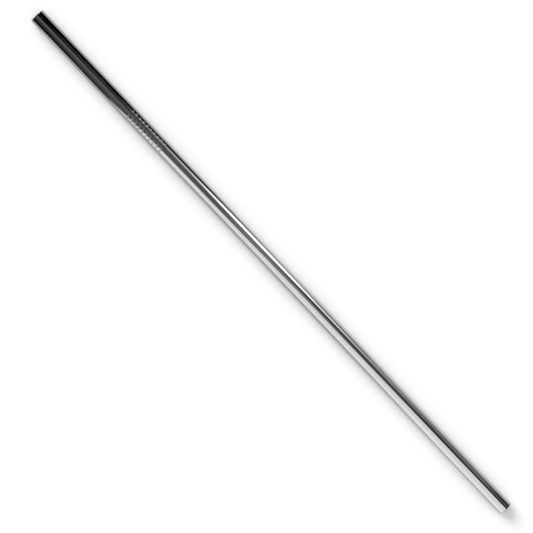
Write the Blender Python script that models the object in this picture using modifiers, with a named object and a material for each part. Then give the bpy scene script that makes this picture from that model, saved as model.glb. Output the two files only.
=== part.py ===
"""Straight polished steel mandrel tube with a band of faint rolled rings near one end.

The object is a single drawn tube. It lies along X on the plane z = 0, with the
origin under its middle and its ringed end at +X. Its wall is turned from one
closed profile: down the outside, round one lip, back along the bore and round
the other lip. The round surfaces have flat sides, one of them along the bottom,
so that the tube can rest on it.
"""

from math import cos, pi, sin

import bpy
from mathutils import Matrix

# Driving dimensions, in metres. Diameters are measured across the flat sides.
TUBE_LENGTH = 0.266
OUTER_DIAMETER = 0.006
WALL = 0.0005

RING_COUNT = 10
RING_PITCH = 0.00197
FIRST_RING_FROM_END = 0.0522
GROOVE_WIDTH = 0.0006
GROOVE_DEPTH = 0.000013

OUTER_LIP_RADIUS = 0.0003
INNER_LIP_RADIUS = 0.0001

# How finely the round shapes are made.
SIDES = 24
GROOVE_STEPS = 6
OUTER_LIP_STEPS = 3
INNER_LIP_STEPS = 2

# Worked out from the above.
OUTER_RADIUS = OUTER_DIAMETER / 2
BORE_RADIUS = OUTER_RADIUS - WALL
HALF_LENGTH = TUBE_LENGTH / 2
HALF_STEP = pi / SIDES

STEEL_COLOUR = (0.62, 0.62, 0.63, 1.0)
STEEL_ROUGHNESS = 0.12


def clear_scene():
    for thing in list(bpy.data.objects):
        bpy.data.objects.remove(thing)


def ring_heights():
    """Heights of the ring centres on the upright tube, from the top one down."""
    top = HALF_LENGTH - FIRST_RING_FROM_END
    return [top - number * RING_PITCH for number in range(RING_COUNT)]


def groove(centre):
    """Points down one ring's groove: a shallow wave that runs out smoothly above and below."""
    points = []
    for number in range(GROOVE_STEPS + 1):
        share = number / GROOVE_STEPS
        sunk = GROOVE_DEPTH * (1 - cos(2 * pi * share)) / 2
        points.append((OUTER_RADIUS - sunk, centre + GROOVE_WIDTH * (0.5 - share)))
    return points


def lip(radius, corner, corner_height, start, steps):
    """A quarter circle about a corner centre, turning on clockwise from start."""
    points = []
    for number in range(steps + 1):
        angle = start - pi / 2 * number / steps
        points.append((corner + radius * cos(angle), corner_height + radius * sin(angle)))
    return points


def wall_profile():
    """The closed outline of the wall as (radius, height), down its outer side first."""
    outer_corner = OUTER_RADIUS - OUTER_LIP_RADIUS
    outer_height = HALF_LENGTH - OUTER_LIP_RADIUS
    inner_corner = BORE_RADIUS + INNER_LIP_RADIUS
    inner_height = HALF_LENGTH - INNER_LIP_RADIUS

    outline = lip(OUTER_LIP_RADIUS, outer_corner, outer_height, pi / 2, OUTER_LIP_STEPS)
    for height in ring_heights():
        outline += groove(height)
    outline += lip(OUTER_LIP_RADIUS, outer_corner, -outer_height, 0, OUTER_LIP_STEPS)
    outline += lip(INNER_LIP_RADIUS, inner_corner, -inner_height, -pi / 2, INNER_LIP_STEPS)
    outline += lip(INNER_LIP_RADIUS, inner_corner, inner_height, pi, INNER_LIP_STEPS)
    return outline


def polished_steel():
    material = bpy.data.materials.new("polished_steel")
    material.use_nodes = True
    shader = material.node_tree.nodes["Principled BSDF"]
    shader.inputs["Base Color"].default_value = STEEL_COLOUR
    shader.inputs["Metallic"].default_value = 1.0
    shader.inputs["Roughness"].default_value = STEEL_ROUGHNESS
    material.diffuse_color = STEEL_COLOUR
    return material


def turned(name, outline, material, collection):
    """An object turned about its Z axis from a closed outline of (radius, height)."""
    to_corner = 1 / cos(HALF_STEP)
    points = [(radius * to_corner, 0, height) for radius, height in outline]
    edges = [(number, (number + 1) % len(points)) for number in range(len(points))]
    mesh = bpy.data.meshes.new(name)
    mesh.from_pydata(points, edges, [])
    mesh.materials.append(material)
    thing = bpy.data.objects.new(name, mesh)
    collection.objects.link(thing)
    screw = thing.modifiers.new("turn", "SCREW")
    screw.axis = "Z"
    screw.steps = SIDES
    screw.render_steps = SIDES
    screw.use_smooth_shade = True
    screw.use_merge_vertices = False
    return thing


def main():
    clear_scene()
    collection = bpy.data.collections.new("ring_mandrel")
    bpy.context.scene.collection.children.link(collection)
    tube = turned("mandrel_tube", wall_profile(), polished_steel(), collection)
    lay_down = Matrix.Rotation(pi / 2, 4, "Y")
    flat_side_down = Matrix.Rotation(HALF_STEP, 4, "Z")
    lift = Matrix.Translation((0, 0, OUTER_RADIUS))
    tube.matrix_world = lift @ lay_down @ flat_side_down


main()
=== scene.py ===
"""Looks for the ring mandrel: one polished steel tube with rolled rings near one end.

The tube lies along X on a plain pale floor, its ringed end at +X, in a plain soft
studio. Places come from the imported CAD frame. Lengths are in metres.
"""

import random
from math import cos, pi, radians, sin

import bpy
from mathutils import Matrix, Vector


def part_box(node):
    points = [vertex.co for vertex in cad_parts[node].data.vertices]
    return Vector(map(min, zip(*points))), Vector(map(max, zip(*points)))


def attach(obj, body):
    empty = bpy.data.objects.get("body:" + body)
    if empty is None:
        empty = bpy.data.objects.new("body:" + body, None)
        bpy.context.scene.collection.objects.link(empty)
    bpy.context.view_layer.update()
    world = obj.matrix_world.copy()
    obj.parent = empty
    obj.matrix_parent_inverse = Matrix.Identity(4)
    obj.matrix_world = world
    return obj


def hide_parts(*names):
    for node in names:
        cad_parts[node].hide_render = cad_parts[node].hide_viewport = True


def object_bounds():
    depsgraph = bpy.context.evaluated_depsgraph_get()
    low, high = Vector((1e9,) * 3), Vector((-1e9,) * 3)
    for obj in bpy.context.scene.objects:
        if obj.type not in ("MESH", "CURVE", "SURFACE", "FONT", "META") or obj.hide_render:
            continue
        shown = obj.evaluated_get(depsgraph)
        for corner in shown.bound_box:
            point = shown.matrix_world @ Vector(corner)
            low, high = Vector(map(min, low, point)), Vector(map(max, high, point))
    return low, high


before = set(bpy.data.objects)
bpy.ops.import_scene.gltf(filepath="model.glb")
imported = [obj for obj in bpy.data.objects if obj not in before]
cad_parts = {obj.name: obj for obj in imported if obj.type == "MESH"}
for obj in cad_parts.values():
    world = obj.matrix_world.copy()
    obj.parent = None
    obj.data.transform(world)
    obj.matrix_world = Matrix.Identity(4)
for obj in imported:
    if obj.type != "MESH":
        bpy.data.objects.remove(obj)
cad_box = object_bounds()
tube_low, tube_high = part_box("mandrel_tube")

# The tube, with the CAD's own dimensions. The frame has its middle at x = 0.
RINGED_END_X = tube_high.x
PLAIN_END_X = tube_low.x
HALF_LENGTH = (RINGED_END_X - PLAIN_END_X) / 2
OUTER_RADIUS = 0.003
WALL = 0.0005
BORE_RADIUS = OUTER_RADIUS - WALL
AXIS_HEIGHT = tube_low.z + OUTER_RADIUS
OUTER_LIP = 0.0003
INNER_LIP = 0.0001

RING_COUNT = 10
RING_PITCH = 0.00197
FIRST_RING_FROM_END = 0.0522
GROOVE_WIDTH = 0.0006
GROOVE_DEPTH = 0.000013
FIRST_RING_X = RINGED_END_X - FIRST_RING_FROM_END
LAST_RING_X = FIRST_RING_X - (RING_COUNT - 1) * RING_PITCH

# How much the rings differ: shares of their depth and width, and a shift along the tube.
DEPTH_RANGE = (0.7, 1.4)
WIDTH_RANGE = (0.75, 1.05)
RING_SHIFT = 0.00005
DEEPER_SIDE = 0.2

# How finely it is turned. HOLD is how close to its ends a plain run has its outer places.
STEPS_ROUND = 144
OUTER_LIP_STEPS = 8
INNER_LIP_STEPS = 5
GROOVE_STEPS = 16
RUN_STEP = 0.008
HOLD = 0.00006

# The tube's material slots.
OUTSIDE, BORE, END = 0, 1, 2

# The camera: over the tube, leaning towards its ringed end, and rolled.
CAMERA_AIM = Vector((0.00181, 0.00254, AXIS_HEIGHT))
CAMERA_DISTANCE = 0.673
CAMERA_LEAN = radians(4)
CAMERA_ROLL = radians(180 + 46.43)
CAMERA_LENS = 116.52

# The studio's levels: the background and floor to the eye, and what lights them.
WHITE = 1.2
FLOOR_LEVEL = 0.93
SKY_LEVEL = 0.74
KEY_LEVEL = 2.7
KEY_WIDTH = radians(40)
KEY_FROM = Vector((0.95, -0.09, 0.5))
FLOOR_SIZE = 4.0

# The slopes that the whole tube mirrors in the photo's view, as a card takes them.
WHOLE_TUBE = (-0.30, 0.135, 0.04, 0.02)


# ---------------------------------------------------------------- helpers

class Graph:
    """Adds nodes to one tree. Each call gives back the socket that it makes."""

    def __init__(self, tree):
        self.tree = tree
        tree.nodes.clear()

    def node(self, kind, **settings):
        made = self.tree.nodes.new("ShaderNode" + kind)
        for name, value in settings.items():
            setattr(made, name, value)
        return made

    def feed(self, socket, value):
        if isinstance(value, bpy.types.NodeSocket):
            self.tree.links.new(value, socket)
        else:
            socket.default_value = value

    def math(self, operation, *values):
        made = self.node("Math", operation=operation)
        for socket, value in zip(made.inputs, values):
            self.feed(socket, value)
        return made.outputs[0]

    def add(self, a, b):
        return self.math("ADD", a, b)

    def times(self, a, b):
        return self.math("MULTIPLY", a, b)

    def less(self, level, share):
        """The level, less that share of it."""
        return self.times(level, self.add(1.0, self.times(share, -1)))

    def total(self, *values):
        result = values[0]
        for value in values[1:]:
            result = self.add(result, value)
        return result

    def ramp(self, value, low, high, start=0.0, end=1.0):
        """start below low, end above high, and a soft change between them."""
        made = self.node("MapRange", interpolation_type="SMOOTHSTEP", clamp=True)
        self.feed(made.inputs["Value"], value)
        self.feed(made.inputs["From Min"], low)
        self.feed(made.inputs["From Max"], high)
        self.feed(made.inputs["To Min"], start)
        self.feed(made.inputs["To Max"], end)
        return made.outputs["Result"]

    def band(self, value, low, high, soft_low, soft_high):
        """1 between low and high, 0 outside, with edges as wide as the soft numbers."""
        rise = self.ramp(value, low - soft_low / 2, low + soft_low / 2)
        fall = self.ramp(value, high - soft_high / 2, high + soft_high / 2, 1.0, 0.0)
        return self.times(rise, fall)

    def mix(self, share, a, b):
        made = self.node("Mix", data_type="FLOAT", clamp_factor=True)
        self.feed(made.inputs[0], share)
        self.feed(made.inputs[2], a)
        self.feed(made.inputs[3], b)
        return made.outputs[0]

    def grey(self, level):
        """A neutral colour of that level."""
        made = self.node("CombineColor", mode="RGB")
        for socket in made.inputs:
            self.feed(socket, level)
        return made.outputs[0]

    def parts(self, vector):
        """A vector's x, y and z."""
        made = self.node("SeparateXYZ")
        self.feed(made.inputs[0], vector)
        return made.outputs

    def vector_math(self, operation, a, b):
        made = self.node("VectorMath", operation=operation)
        self.feed(made.inputs[0], a)
        self.feed(made.inputs[1], b)
        return made.outputs[0]

    def noise(self, vector, scales, detail=2.0, roughness=0.5):
        """Noise with that many features per metre along each axis."""
        made = self.node("TexNoise", noise_dimensions="3D")
        self.feed(made.inputs["Vector"], self.vector_math("MULTIPLY", vector, scales))
        self.feed(made.inputs["Scale"], 1.0)
        self.feed(made.inputs["Detail"], detail)
        self.feed(made.inputs["Roughness"], roughness)
        return made.outputs[0]


def placed(name, data):
    """A new object in the scene."""
    thing = bpy.data.objects.new(name, data)
    bpy.context.scene.collection.objects.link(thing)
    return thing


# ---------------------------------------------------------------- the tube's shape

def ring_middles():
    return [FIRST_RING_X - number * RING_PITCH for number in range(RING_COUNT)]


def rolled_rings():
    """Each ring as (middle, depth, width, deeper side): no two are rolled quite alike."""
    dice = random.Random(7)
    rings = []
    for middle in ring_middles():
        depth = GROOVE_DEPTH * dice.uniform(*DEPTH_RANGE)
        width = GROOVE_WIDTH * dice.uniform(*WIDTH_RANGE)
        side = dice.uniform(0, 2 * pi)
        shift = dice.uniform(-RING_SHIFT, RING_SHIFT)
        rings.append((middle + shift, depth, width, side))
    return rings


RINGS = rolled_rings()


def outer_radius(x, angle):
    """The outside's radius, less what the rings press in."""
    pressed = 0.0
    for middle, depth, width, side in RINGS:
        away = abs(x - middle)
        if away < width / 2:
            deeper = 1 + DEEPER_SIDE * cos(angle - side)
            pressed += depth * deeper * (1 + cos(2 * pi * away / width)) / 2
    return OUTER_RADIUS - pressed


def lip(radius, corner, corner_x, start, steps):
    """A quarter turn about a corner centre, as points (radius, x)."""
    points = []
    for number in range(steps + 1):
        angle = start - pi / 2 * number / steps
        points.append((corner + radius * cos(angle), corner_x + radius * sin(angle)))
    return points


def run(start, end):
    """Places along a plain run, with one held close to each end."""
    way = 1 if end > start else -1
    count = max(1, int(abs(end - start) / RUN_STEP))
    inner_start = start + way * HOLD
    inner_end = end - way * HOLD
    return [inner_start + (inner_end - inner_start) * n / count for n in range(count + 1)]


def ringed_places(start, end):
    """Places from start down to end, close together wherever a ring is."""
    places = []
    last = start
    for middle in ring_middles():
        top = middle + GROOVE_WIDTH / 2 + 2 * HOLD
        bottom = middle - GROOVE_WIDTH / 2 - 2 * HOLD
        places += run(last, top) if last - top > RUN_STEP else []
        places += [top + (bottom - top) * n / GROOVE_STEPS for n in range(GROOVE_STEPS + 1)]
        last = bottom
    return places + run(last, end)


def outline():
    """The wall's closed outline: each point is (x, material, radius or its function)."""
    outer_corner = OUTER_RADIUS - OUTER_LIP
    outer_start = RINGED_END_X - OUTER_LIP
    outer_end = PLAIN_END_X + OUTER_LIP
    inner_corner = BORE_RADIUS + INNER_LIP
    inner_start = PLAIN_END_X + INNER_LIP
    inner_end = RINGED_END_X - INNER_LIP
    points = []
    for radius, x in lip(OUTER_LIP, outer_corner, outer_start, pi / 2, OUTER_LIP_STEPS):
        points.append((x, END, radius))
    for x in ringed_places(outer_start, outer_end):
        points.append((x, OUTSIDE, outer_radius))
    for radius, x in lip(OUTER_LIP, outer_corner, outer_end, 0, OUTER_LIP_STEPS):
        points.append((x, END, radius))
    for radius, x in lip(INNER_LIP, inner_corner, inner_start, -pi / 2, INNER_LIP_STEPS):
        points.append((x, END, radius))
    for x in run(inner_start, inner_end):
        points.append((x, BORE, BORE_RADIUS))
    for radius, x in lip(INNER_LIP, inner_corner, inner_end, pi, INNER_LIP_STEPS):
        points.append((x, END, radius))
    return points


def one_turn(x, radius):
    """Vertices once round the tube at x. The radius is a number or a function."""
    vertices = []
    for step in range(STEPS_ROUND):
        angle = 2 * pi * step / STEPS_ROUND
        here = radius(x, angle) if callable(radius) else radius
        vertices.append((x, here * cos(angle), AXIS_HEIGHT + here * sin(angle)))
    return vertices


def joined_turns(row, next_row):
    """Faces between two turns of vertices."""
    first = row * STEPS_ROUND
    second = next_row * STEPS_ROUND
    faces = []
    for step in range(STEPS_ROUND):
        after = (step + 1) % STEPS_ROUND
        faces.append((first + step, first + after, second + after, second + step))
    return faces


def turned_tube(name, materials):
    """The whole wall, turned about the tube's axis from its outline."""
    points = outline()
    vertices = []
    faces = []
    finishes = []
    for row, (x, finish, radius) in enumerate(points):
        vertices += one_turn(x, radius)
        faces += joined_turns(row, (row + 1) % len(points))
        finishes += [finish] * STEPS_ROUND
    mesh = bpy.data.meshes.new(name)
    mesh.from_pydata(vertices, [], faces)
    for material in materials:
        mesh.materials.append(material)
    mesh.polygons.foreach_set("material_index", finishes)
    mesh.polygons.foreach_set("use_smooth", [True] * len(faces))
    mesh.update()
    return placed(name, mesh)


# ---------------------------------------------------------------- materials

def new_material(name):
    """A material, its graph, and the place on the object in metres."""
    material = bpy.data.materials.new(name)
    material.use_nodes = True
    graph = Graph(material.node_tree)
    return material, graph, graph.node("TexCoord").outputs["Object"]


def steel_shader(graph, level, roughness, height, relief, metallic=1.0):
    """A neutral metal. Where the height is 1, the surface stands up by the relief."""
    shader = graph.node("BsdfPrincipled")
    shader.inputs["Metallic"].default_value = metallic
    graph.feed(shader.inputs["Base Color"], graph.grey(level))
    graph.feed(shader.inputs["Roughness"], roughness)
    bump = graph.node("Bump")
    bump.inputs["Strength"].default_value = 1.0
    bump.inputs["Distance"].default_value = relief
    graph.feed(bump.inputs["Height"], height)
    graph.feed(shader.inputs["Normal"], bump.outputs[0])
    out = graph.node("OutputMaterial")
    graph.feed(out.inputs["Surface"], shader.outputs[0])


def scratches(graph, place, scales, shift, thinness):
    """Sparse hairlines, drawn where a stretched noise crosses its middle value."""
    moved = graph.vector_math("ADD", place, shift)
    wander = graph.noise(moved, scales, 2.0, 0.6)
    off_middle = graph.math("ABSOLUTE", graph.add(wander, -0.5))
    hairline = graph.ramp(off_middle, 0.0, thinness, 1.0, 0.0)
    patches = graph.noise(moved, (90, 260, 260), 2.0)
    return graph.times(hairline, graph.ramp(patches, 0.56, 0.66))


def in_grooves(graph, x):
    """1 in the rings' grooves and 0 away from them. Halfway between two rings, off_ring is 0.5."""
    first = FIRST_RING_X + GROOVE_WIDTH
    last = LAST_RING_X - GROOVE_WIDTH
    ringed = graph.band(x, last, first, GROOVE_WIDTH, GROOVE_WIDTH)
    pitches = graph.times(graph.add(x, -FIRST_RING_X), 1 / RING_PITCH)
    off_ring = graph.math("PINGPONG", graph.math("FRACT", pitches), 0.5)
    return graph.times(ringed, graph.ramp(off_ring, 0.08, 0.24, 1.0, 0.0))


def polished_steel():
    """Drawn and polished steel: lengthwise lines, fine polish marks, rubs and scratches, and
    painted shade in the ring grooves.
    """
    material, graph, place = new_material("polished_steel")
    lines = graph.noise(place, (45, 5200, 5200), 3.0, 0.6)
    streaks = graph.noise(place, (9, 1300, 1300), 2.0, 0.5)
    polish = graph.noise(place, (9000, 160, 160), 2.0, 0.5)
    smudges = graph.noise(place, (80, 210, 210), 3.0, 0.55)
    long_marks = scratches(graph, place, (60, 900, 900), (0.3, 0.1, 0.2), 0.006)
    round_marks = scratches(graph, place, (1500, 110, 110), (0.1, 0.4, 0.3), 0.007)
    marks = graph.math("MAXIMUM", long_marks, round_marks)
    x, _, _ = graph.parts(place)
    grooves = in_grooves(graph, x)

    roughness = graph.total(
        0.03,
        graph.times(lines, 0.02),
        graph.times(polish, 0.015),
        graph.ramp(smudges, 0.5, 0.72, 0.0, 0.03),
        graph.times(marks, 0.12),
        graph.times(grooves, 0.04),
    )
    level = graph.total(
        0.60,
        graph.times(streaks, 0.05),
        graph.times(lines, 0.03),
        graph.times(smudges, 0.02),
        graph.times(marks, -0.08),
        # Painted shade: the ring grooves are darker.
        graph.times(grooves, -0.05),
    )
    height = graph.total(
        graph.times(lines, 0.6),
        graph.times(polish, 0.25),
        graph.times(marks, -1.0),
    )
    steel_shader(graph, level, roughness, height, relief=0.0000012)
    return material


def drawn_bore():
    """The unpolished inside: dull, with drawing lines, a patchy darker film, and painted shade
    that darkens it further in from each end.
    """
    material, graph, place = new_material("drawn_bore")
    lines = graph.noise(place, (60, 4200, 4200), 3.0, 0.6)
    film = graph.noise(place, (120, 500, 500), 3.0, 0.6)
    x, _, _ = graph.parts(place)
    inwards = graph.add(HALF_LENGTH, graph.times(graph.math("ABSOLUTE", x), -1))
    roughness = graph.total(0.32, graph.times(lines, 0.12), graph.times(film, 0.12))
    level = graph.total(
        # Painted shade: the level falls from 0.5 at each mouth to 0.3 some 12 mm in.
        graph.ramp(inwards, 0, 0.012, 0.5, 0.3),
        graph.times(lines, 0.12),
        graph.times(film, -0.08),
    )
    height = graph.add(lines, graph.times(film, 0.3))
    steel_shader(graph, level, roughness, height, relief=0.000004, metallic=0.93)
    return material


def dressed_end():
    """The cut ends, dressed smooth: a satin finish with marks round the wall."""
    material, graph, place = new_material("dressed_end")
    rubs = graph.noise(place, (2600, 900, 900), 3.0, 0.6)
    specks = graph.noise(place, (5200, 5200, 5200), 2.0, 0.5)
    roughness = graph.total(0.17, graph.times(rubs, 0.08), graph.times(specks, 0.04))
    level = graph.total(0.58, graph.times(rubs, 0.05), graph.times(specks, 0.03))
    height = graph.add(graph.times(rubs, 0.6), graph.times(specks, 0.4))
    steel_shader(graph, level, roughness, height, relief=0.000003)
    return material


# ---------------------------------------------------------------- studio

class Studio(Graph):
    """The soft cards round the tube, in the steel's reflections.

    A card's place is an angle about the tube, in degrees from straight up towards +Y,
    and a slope, which is how far it leans towards +X. Edges are given as (low, high,
    softness at low, softness at high).
    """

    def __init__(self, tree):
        super().__init__(tree)
        x, y, z = self.parts(self.node("TexCoord").outputs["Generated"])
        self.angle = self.math("DEGREES", self.math("ARCTAN2", y, z))
        across = self.math("SQRT", self.add(self.times(y, y), self.times(z, z)))
        across = self.math("MAXIMUM", across, 0.0001)
        self.slope = self.math("DIVIDE", x, across)
        self.side = self.math("DIVIDE", y, across)
        self.up = self.math("DIVIDE", z, across)
        self.path = self.node("LightPath").outputs
        self.lights = []

    def card(self, level, angles, slopes):
        """A plain card with soft edges."""
        shape = self.times(self.band(self.angle, *angles), self.band(self.slope, *slopes))
        self.lights.append(self.times(shape, level))

    def softbox(self, level, angle, half_angle, slope, half_slope, lean, softness):
        """A round soft light. Its middle's angle goes up by lean for each unit of slope."""
        along = self.add(self.slope, -slope)
        round_it = self.total(self.angle, -angle, self.times(along, -lean))
        away = self.node("CombineXYZ")
        self.feed(away.inputs[0], self.times(round_it, 1 / half_angle))
        self.feed(away.inputs[1], self.times(along, 1 / half_slope))
        length = self.node("VectorMath", operation="LENGTH")
        self.feed(length.inputs[0], away.outputs[0])
        shape = self.ramp(length.outputs["Value"], 1 - softness, 1 + softness, 1.0, 0.0)
        self.lights.append(self.times(shape, level))

    def edge(self, slope_weight, up_weight, low, high):
        """A straight edge that the side, slope and up shares of the direction cross."""
        leaning = self.times(self.slope, -slope_weight)
        rising = self.times(self.up, -up_weight)
        return self.ramp(self.total(self.side, leaning, rising), low, high)

    def wall(self):
        """The white wall on +Y, which comes lower towards -X along a bent edge."""
        shape = self.edge(17, 0.39, -0.145, 0.005)
        shape = self.times(shape, self.edge(4.2, 0.57, 0.01, 0.09))
        shape = self.times(shape, self.edge(0.75, 0.19, 0.0, 0.06))
        shape = self.times(shape, self.band(self.angle, -20, 178, 1, 1))
        shape = self.times(shape, self.ramp(self.slope, -0.36, -0.28))
        self.lights.append(self.times(shape, self.ramp(self.angle, 30, 70, 0.86, 1.06)))

    def above_floor(self):
        """All the cards, cut off at the horizon."""
        return self.times(self.total(*self.lights), self.band(self.angle, -92, 92, 4, 4))


def overhead_cards(studio):
    """The ceiling: grey, dimmer towards the walls, and cut off just past the tube's ends."""
    # The ceiling itself, brighter overhead and again before the white wall.
    studio.card(0.03, (-9, 62, 6, 14), WHOLE_TUBE)
    studio.card(0.105, (-10, 26, 6, 44), WHOLE_TUBE)
    studio.card(0.05, (30, 70, 30, 20), (-0.30, 0.09, 0.04, 0.07))
    # Its -Y side: over the middle, by the plain end, over the middle again, by the ringed end.
    studio.card(0.14, (-18, 4, 20, 12), (-0.12, -0.035, 0.05, 0.03))
    studio.card(0.17, (-42, -27, 8, 14), (-0.30, -0.22, 0.04, 0.03))
    studio.card(0.05, (-22, -2, 10, 10), (-0.19, -0.03, 0.04, 0.03))
    studio.card(0.03, (-20, 6, 8, 14), (0.03, 0.07, 0.03, 0.03))
    studio.card(0.03, (-9, 6, 6, 14), (0.07, 0.12, 0.03, 0.03))
    # Low on the white wall, towards the plain end.
    studio.card(0.08, (70, 92, 10, 4), (-0.30, -0.10, 0.02, 0.03))


def softbox_cards(studio):
    """The softbox on -Y, its arm towards -X, and its spill over the grey side wall."""
    studio.softbox(
        level=1.0,
        angle=-59,
        half_angle=22,
        slope=-0.057,
        half_slope=0.046,
        lean=130,
        softness=0.2,
    )
    # Its arm, bright and then dimmer.
    studio.card(0.75, (-72, -50, 8, 12), (-0.135, -0.028, 0.07, 0.025))
    studio.card(0.20, (-74, -46, 10, 12), (-0.19, -0.03, 0.08, 0.05))
    # Its spill, which fades out towards the ringed end.
    studio.card(0.28, (-64, -46, 8, 16), (-0.13, 0.03, 0.05, 0.06))
    studio.card(0.26, (-62, -28, 8, 34), (-0.08, 0.03, 0.04, 0.07))
    studio.card(0.28, (-62, -44, 8, 10), (-0.03, 0.012, 0.03, 0.04))
    studio.card(0.09, (-46, -18, 10, 10), (-0.03, 0.04, 0.03, 0.03))
    # The grey side wall: a patch by the ringed end, a part by the plain end, and most of it.
    studio.card(0.065, (-48, -32, 6, 8), (0.072, 0.110, 0.02, 0.02))
    studio.card(0.16, (-80, -32, 14, 20), (-0.256, -0.13, 0.014, 0.07))
    studio.card(0.035, (-54, -20, 14, 24), (-0.20, 0.078, 0.02, 0.03))
    # Low on the side wall, towards the plain end and past it.
    studio.card(0.27, (-100, -74, 10, 8), (-9, -0.155, 0.1, 0.03))
    studio.card(0.12, (-96, -77, 10, 6), (-9, -0.235, 0.1, 0.03))


def end_cards(studio):
    """Light past both ends of the tube, which only slanting views mirror."""
    direct = studio.math("LESS_THAN", studio.path["Diffuse Depth"], 0.5)
    bright = studio.times(direct, 0.92)
    dim = studio.times(direct, 0.36)
    past_ringed_end = (0.32, 60, 0.12, 0.12)
    past_plain_end = (-60, -0.42, 0.12, 0.12)
    for slopes in (past_ringed_end, past_plain_end):
        studio.card(bright, (-76, -32, 12, 12), slopes)
        studio.card(dim, (-22, 18, 12, 18), slopes)
        studio.card(bright, (32, 78, 8, 12), slopes)


def studio_world():
    """The steel mirrors the cards, the eye sees white, and the rest is lit evenly."""
    world = bpy.data.worlds.new("studio")
    bpy.context.scene.world = world
    world.use_nodes = True
    world.cycles.sampling_method = "NONE"
    studio = Studio(world.node_tree)
    overhead_cards(studio)
    studio.wall()
    softbox_cards(studio)
    end_cards(studio)

    seen = studio.mix(studio.path["Is Glossy Ray"], SKY_LEVEL, studio.above_floor())
    level = studio.mix(studio.path["Is Camera Ray"], seen, WHITE)
    background = studio.node("Background")
    background.inputs["Color"].default_value = (1, 1, 1, 1)
    studio.feed(background.inputs["Strength"], level)
    out = studio.node("OutputWorld")
    studio.feed(out.inputs["Surface"], background.outputs[0])


def far_out(graph, away):
    """How much painted shade darkens the mirrored floor far from the tube."""
    return graph.times(graph.ramp(away, 0.028, 0.05), 0.95)


def back_floor(graph, x, away):
    """The mirrored floor on +Y: painted light where it is open to the white wall towards the plain
    end, and a painted pool of light.
    """
    # Painted light: brighter towards the plain end, away from the tube.
    painted_wall_light = graph.ramp(x, -0.118, -0.045, 1.0, 0.0)
    painted_wall_light = graph.times(painted_wall_light, graph.ramp(away, 0.005, 0.030))
    level = graph.add(graph.ramp(x, 0.015, 0.082, 0.54, 0.46), painted_wall_light)
    level = graph.times(level, graph.ramp(x, 0.134, 0.142, 1.0, 0.1))
    level = graph.less(level, graph.times(far_out(graph, away), graph.ramp(x, 0.07, 0.09)))
    # Painted light: a paler patch by the ringed end, 10 to 36 mm out.
    across = graph.band(away, 0.010, 0.036, 0.008, 0.02)
    along = graph.band(x, 0.05, 0.128, 0.02, 0.01)
    painted_light_patch = graph.times(across, along)
    return graph.add(level, graph.times(painted_light_patch, 0.17))


def front_floor(graph, x, away):
    """The mirrored floor on -Y: painted shade darker towards the ringed end, and painted light and
    shade that vary along it.
    """
    plain_half = graph.ramp(x, -0.086, 0.0, 0.48, 0.44)
    ringed_half = graph.ramp(x, 0.0, 0.075, 0.30, 0.04)
    level = graph.add(plain_half, ringed_half)
    level = graph.times(level, graph.band(x, -0.16, 0.138, 0.01, 0.008))
    level = graph.less(level, graph.times(far_out(graph, away), graph.ramp(x, -0.01, 0.03)))

    # Painted light: brighter close to the tube over most of its length.
    painted_light_close_by = graph.ramp(away, 0.006, 0.014, 0.12, 0.0)
    level = graph.add(level, graph.times(painted_light_close_by, graph.band(x, -0.005, 0.115, 0.04, 0.02)))
    # Painted shade: two darker stretches further out.
    painted_shade = graph.ramp(away, 0.012, 0.022, 0.0, 0.32)
    level = graph.less(level, graph.times(painted_shade, graph.band(x, 0.005, 0.066, 0.03, 0.02)))
    painted_shade = graph.ramp(away, 0.02, 0.06, 0.0, 0.3)
    return graph.less(level, graph.times(painted_shade, graph.band(x, -0.085, -0.035, 0.02, 0.02)))


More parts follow.
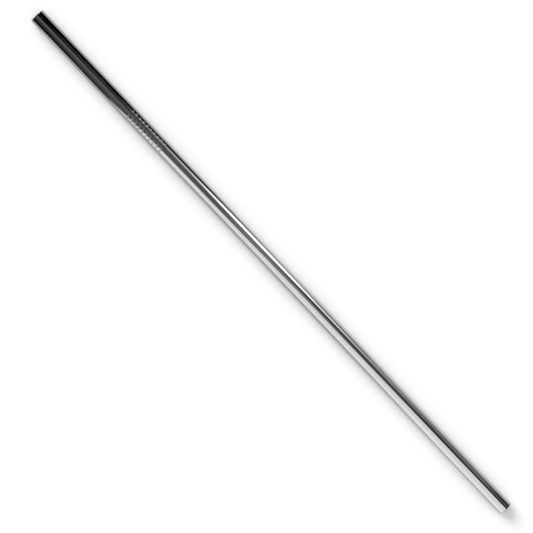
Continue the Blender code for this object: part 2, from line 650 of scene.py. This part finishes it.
def mirrored_floor(graph, x, y):
    """The floor's level in the steel, painted light and shade, with a painted pale wedge of light
    ahead of each end for the end faces.
    """
    away = graph.math("ABSOLUTE", y)
    front = front_floor(graph, x, away)
    back = back_floor(graph, x, away)
    beside = graph.mix(graph.ramp(y, -0.002, 0.002), front, back)
    # Painted shade: darker away from the tube.
    beside = graph.times(beside, graph.ramp(away, 0.005, 0.015, 1.0, 0.78))
    ahead = graph.add(graph.math("ABSOLUTE", x), graph.times(away, -0.35))
    painted_light_past_ends = graph.ramp(ahead, 0.1335, 0.138, 0.0, 0.75)
    in_line = graph.ramp(away, 0.03, 0.1, 1.0, 0.0)
    return graph.math("MAXIMUM", beside, graph.times(painted_light_past_ends, in_line))


def pale_floor():
    """Plain and pale to the eye, and in the steel's reflections graded grey with painted light and
    shade.
    """
    material, graph, place = new_material("pale_floor")
    x, y, _ = graph.parts(place)
    mirrored = graph.node("LightPath").outputs["Is Glossy Ray"]
    grain = graph.noise(place, (300, 300, 300), 2.0)
    # Painted light and shade: glossy rays see the graded level instead of the plain one.
    level = graph.mix(mirrored, FLOOR_LEVEL, mirrored_floor(graph, x, y))
    level = graph.add(level, graph.times(grain, 0.01))
    shader = graph.node("BsdfDiffuse")
    graph.feed(shader.inputs["Color"], graph.grey(level))
    out = graph.node("OutputMaterial")
    graph.feed(out.inputs["Surface"], shader.outputs[0])
    return material


def floor_plane():
    mesh = bpy.data.meshes.new("floor")
    half = FLOOR_SIZE / 2
    corners = [(-half, -half, 0), (half, -half, 0), (half, half, 0), (-half, half, 0)]
    mesh.from_pydata(corners, [], [(0, 1, 2, 3)])
    mesh.materials.append(pale_floor())
    floor = placed("floor", mesh)
    floor.location.z = cad_box[0].z


def key_light():
    """A wide soft light from the ringed end's side, which the steel doesn't mirror."""
    data = bpy.data.lights.new("key", "SUN")
    data.energy = KEY_LEVEL
    data.angle = KEY_WIDTH
    light = placed("key", data)
    light.visible_glossy = False
    light.rotation_euler = KEY_FROM.to_track_quat("Z", "Y").to_euler()


def camera():
    data = bpy.data.cameras.new("camera")
    data.lens = CAMERA_LENS
    thing = placed("camera", data)
    lean = Matrix.Rotation(CAMERA_LEAN, 4, "Y")
    away = lean @ Vector((0, 0, CAMERA_DISTANCE))
    roll = Matrix.Rotation(CAMERA_ROLL, 4, "Z")
    thing.matrix_world = Matrix.Translation(CAMERA_AIM + away) @ lean @ roll
    bpy.context.scene.camera = thing


# ---------------------------------------------------------------- putting it together

camera()
studio_world()
key_light()
floor_plane()
bpy.context.scene.view_settings.view_transform = "Standard"

tube = turned_tube("tube", [polished_steel(), drawn_bore(), dressed_end()])
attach(tube, "root")
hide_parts("mandrel_tube")
